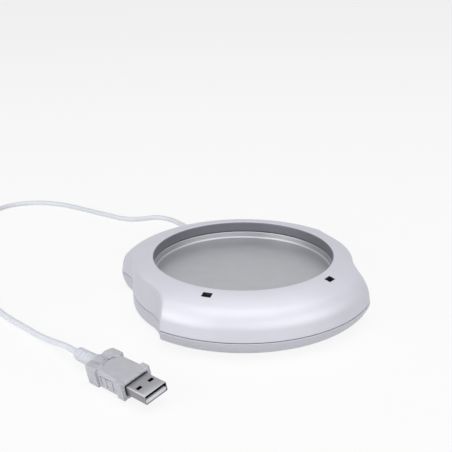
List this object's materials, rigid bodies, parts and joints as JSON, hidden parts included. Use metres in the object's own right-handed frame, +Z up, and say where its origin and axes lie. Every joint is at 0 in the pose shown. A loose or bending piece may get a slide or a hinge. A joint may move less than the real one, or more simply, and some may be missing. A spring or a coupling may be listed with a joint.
{
  "type": "electric mug warmer",
  "caption": "Two-lobed tabletop mug warmer with a heated dish, indicator windows, a side slide switch and a cord ending in a USB plug.",
  "frame": {"origin": "On the table, under the centre of the heated dish", "axes": "+Z up; -Y towards the front lobe with the two indicator windows; the cord leaves the rear lobe along +Y; the switch is in the waist wall on +X"},
  "size_m": [0.2304, 0.2858, 0.0265],
  "materials": {
    "cover_paint": "satin silver paint over moulded plastic",
    "tray_paint": "satin silver paint over moulded plastic",
    "foot_rubber": "matte",
    "zinc_steel": "zinc plated",
    "plate_aluminium": "fine matte, pressed",
    "silicone": "matte",
    "carrier_plastic": "matte, heat resistant",
    "film": "smooth film",
    "track_alloy": "etched foil",
    "fibre_pad": "felted fibre",
    "part_plastic": "moulded",
    "board_green": "solder mask",
    "led_resin": "clear resin",
    "smoked_lens": "smoked clear plastic",
    "contact_gold": "gold flash",
    "knob_plastic": "fine moulded",
    "lead_red": "wire insulation",
    "lead_black": "wire insulation",
    "cord_white": "soft vinyl",
    "tie_plastic": "soft plastic strip over wire",
    "shell_steel": "nickel plated",
    "tongue_white": "moulded",
    "plug_grey": "cloudy translucent vinyl"
  },
  "bodies": {
    "warmer": {"top_cover": "cover_paint", "base_tray": "tray_paint", "rubber_feet": "foot_rubber", "cover_screws": "zinc_steel", "heating_plate": "plate_aluminium", "plate_gasket": "silicone", "plate_carrier": "carrier_plastic", "heater_film": "film", "heater_track": "track_alloy", "insulation_pad": "fibre_pad", "pressure_plate": "zinc_steel", "plate_studs": "zinc_steel", "stud_nuts": "zinc_steel", "thermal_cutout": "part_plastic", "circuit_board": "board_green", "board_components": "part_plastic", "board_screws": "zinc_steel", "indicator_leds": "led_resin", "window_lenses": "smoked_lens", "switch_body": "zinc_steel", "switch_terminals": "contact_gold", "heater_leads": "lead_red", "switch_leads": "lead_black", "supply_leads": "lead_red", "inner_cord": "cord_white", "cable_clamp": "knob_plastic", "clamp_screws": "zinc_steel", "cord_grommet": "cord_white", "cord_to_coil": "cord_white", "cord_coil": "cord_white", "cord_tie": "tie_plastic", "cord_to_plug": "cord_white", "plug_shell": "shell_steel", "plug_tongue": "tongue_white", "plug_contacts": "contact_gold", "plug_core": "tongue_white", "plug_cover": "plug_grey", "plug_boot": "cord_white"},
    "knob": {"switch_knob": "knob_plastic"}
  },
  "joints": [
    {"name": "switch_slide", "type": "slide", "parent": "warmer", "child": "knob", "axis": [0, 1, 0], "range_m": [0, 0.003]}
  ]
}
